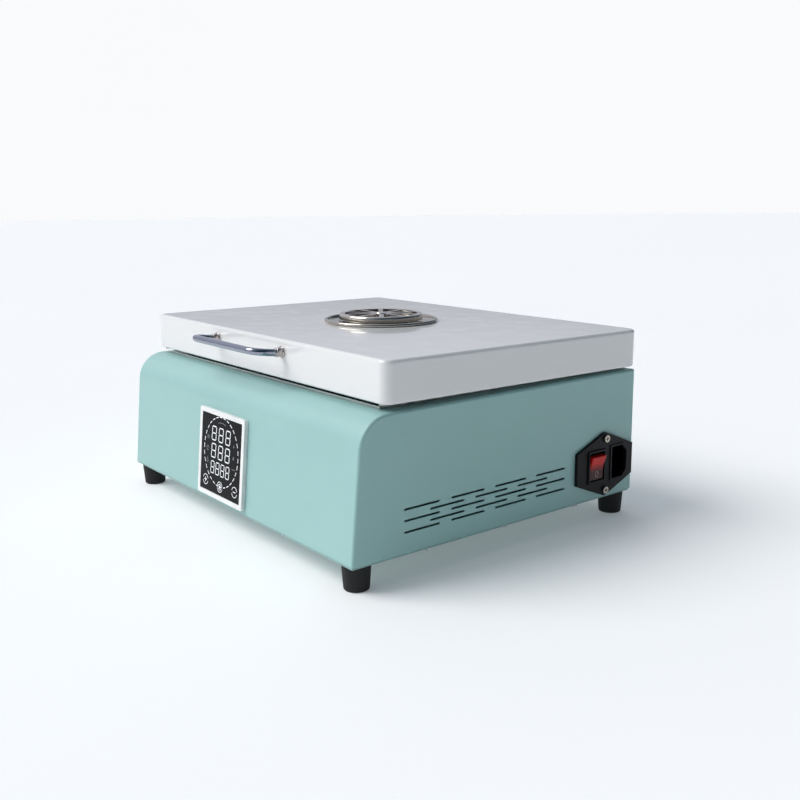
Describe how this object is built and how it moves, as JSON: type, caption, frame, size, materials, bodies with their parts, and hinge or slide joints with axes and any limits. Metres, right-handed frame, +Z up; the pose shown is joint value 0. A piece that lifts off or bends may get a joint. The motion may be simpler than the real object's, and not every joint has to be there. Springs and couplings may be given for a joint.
{
  "type": "reflow oven",
  "caption": "Bench-top plate oven for soldering: sheet-metal base with a touch display and mains inlet, and a hinged enamelled lid with a bow handle and a turning vent.",
  "frame": {"origin": "on the floor, under the middle of the whole oven's bounding box", "axes": "+X to the right seen from the front, +Y to the back, +Z up"},
  "size_m": [0.3362, 0.2756, 0.1526],
  "materials": {
    "teal_enamel": "smooth powder coat, soft gloss",
    "white_enamel": "glossy baked enamel",
    "stainless": "bright stainless sheet",
    "chrome": "bright chrome plate",
    "zinc_steel": "zinc-plated steel",
    "black_rubber": "matt moulded rubber",
    "white_plastic": "white moulded plastic",
    "black_glass": "back-printed black glass",
    "circuit_board": "green solder mask",
    "ribbon_grey": "grey flat cable",
    "black_plastic": "black moulded plastic",
    "brass": "bright brass",
    "red_plastic": "red moulded plastic",
    "plate_aluminium": "ground aluminium",
    "heater_steel": "heat-tinted steel sheath",
    "ceramic": "fired ceramic",
    "mineral_fibre": "pressed mineral fibre",
    "relay_plastic": "pale moulded plastic",
    "wire_sleeve": "sleeved wire",
    "silicone": "grey silicone strip"
  },
  "bodies": {
    "base": {"body_shell": "teal_enamel", "rear_panel": "teal_enamel", "bottom_pan": "teal_enamel", "chamber_trim": "stainless", "heat_shield": "stainless", "foot_screws": "zinc_steel", "foot_nuts": "zinc_steel", "shell_screws": "zinc_steel", "rear_screws": "zinc_steel", "inlet_screws": "zinc_steel", "trim_screws": "zinc_steel", "standoff_nuts": "zinc_steel", "inner_screws": "zinc_steel", "fan_screws": "zinc_steel", "hinge_leaves_base": "zinc_steel", "hinge_pins": "zinc_steel", "hinge_screws_base": "zinc_steel", "thermocouple": "zinc_steel", "feet": "black_rubber", "display_bezel": "white_plastic", "touch_glass": "black_glass", "display_board": "circuit_board", "control_board": "circuit_board", "display_ribbon": "ribbon_grey", "inlet_housing": "black_plastic", "terminal_block": "black_plastic", "fan_frame": "black_plastic", "thermal_cutout": "black_plastic", "inlet_pins": "brass", "board_spacers": "brass", "earth_stud": "brass", "heating_plate": "plate_aluminium", "relay_heatsink": "plate_aluminium", "heater_rods": "heater_steel", "plate_standoffs": "ceramic", "insulation_board": "mineral_fibre", "solid_state_relay": "relay_plastic", "wiring": "wire_sleeve"},
    "lid": {"lid_shell": "white_enamel", "liner_roof": "stainless", "liner_walls": "stainless", "lid_insulation": "mineral_fibre", "lid_gasket": "silicone", "liner_screws": "zinc_steel", "vent_duct": "stainless", "vent_flange": "stainless", "vent_pivot": "stainless", "handle_bar": "chrome", "handle_ferrules": "chrome", "handle_screws": "zinc_steel", "hinge_leaves_lid": "zinc_steel", "hinge_screws_lid": "zinc_steel"},
    "vent": {"vent_shutter": "stainless", "vent_cap": "stainless"},
    "rocker": {"power_rocker": "red_plastic"},
    "fan": {"fan_rotor": "black_plastic"}
  },
  "joints": [
    {"name": "lid_hinge", "type": "hinge", "parent": "base", "child": "lid", "pos_m": [-0.00313, 0.13394, 0.1114], "axis": [-1, 0, 0], "range_deg": [0, 100]},
    {"name": "vent_turn", "type": "hinge", "parent": "lid", "child": "vent", "pos_m": [-0.00313, 0.01304, 0.14537], "axis": [0, 0.0105, 0.9999], "range_deg": [0, 18]},
    {"name": "power_switch", "type": "hinge", "parent": "base", "child": "rocker", "pos_m": [0.16037, 0.08674, 0.045], "axis": [0, -1, 0], "range_deg": [0, 20]},
    {"name": "fan_spin", "type": "hinge", "parent": "base", "child": "fan", "pos_m": [-0.00313, 0.12074, 0.068], "axis": [0, 1, 0], "continuous": true}
  ]
}
